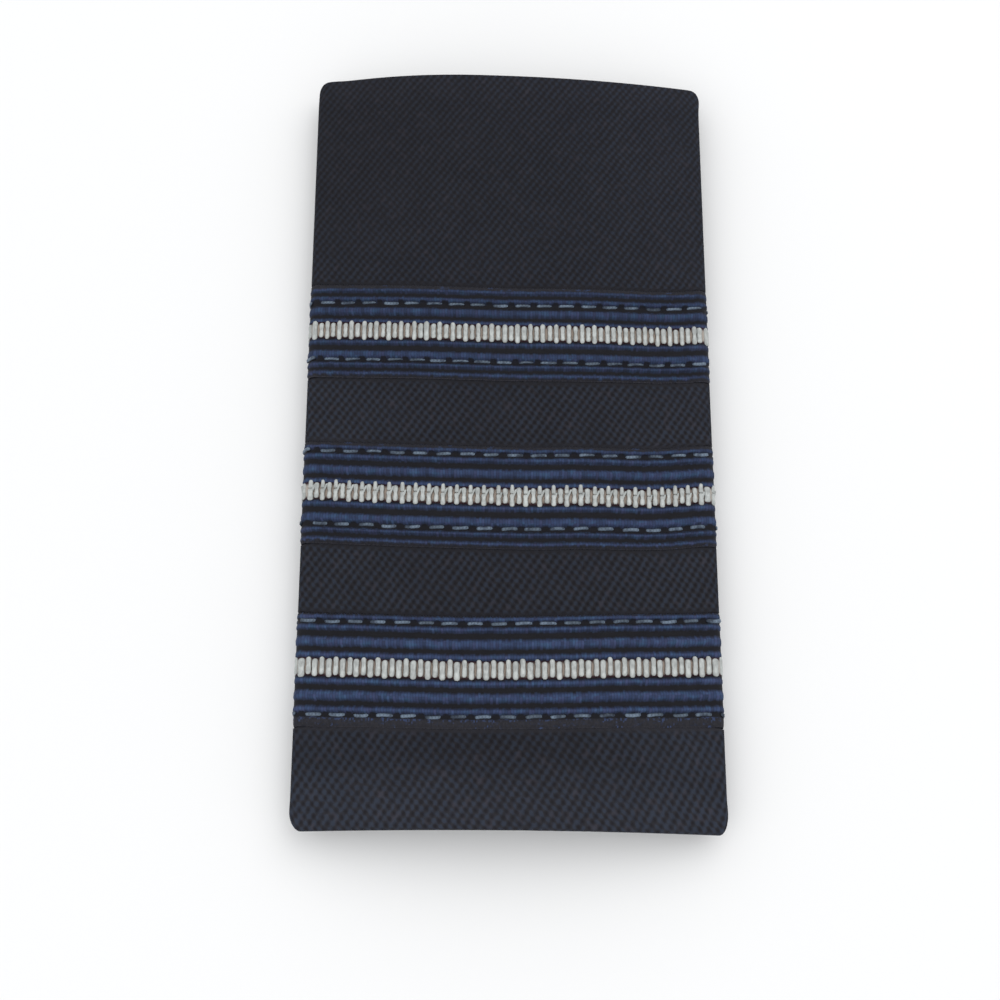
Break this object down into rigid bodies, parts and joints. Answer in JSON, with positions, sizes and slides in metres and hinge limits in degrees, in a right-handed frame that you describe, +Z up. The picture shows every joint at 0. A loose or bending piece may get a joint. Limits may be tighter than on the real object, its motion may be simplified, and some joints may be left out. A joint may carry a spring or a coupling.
{
  "type": "shoulder slide",
  "caption": "Soft shoulder slide: an open cloth sleeve with ribbed navy and silver braid bands sewn across it, slipped over a shoulder strap.",
  "frame": {"origin": "middle of the bounding box's base; the slide lies flat on its back", "axes": "+Y along the sleeve toward the end with the long plain margin, +X across to the right as it is seen from the front, +Z up out of the braided front"},
  "size_m": [0.051, 0.0998, 0.0084],
  "materials": {
    "cloth": "dark navy open twill weave, matt",
    "braid": "navy corded braid, soft sheen",
    "silver_thread": "silver-white ribbed thread, soft metallic sheen"
  },
  "bodies": {
    "root": {"sleeve": "cloth", "lower_braid": "braid", "middle_braid": "braid", "upper_braid": "braid", "lower_stripe": "silver_thread", "middle_stripe": "silver_thread", "upper_stripe": "silver_thread"}
  },
  "joints": []
}
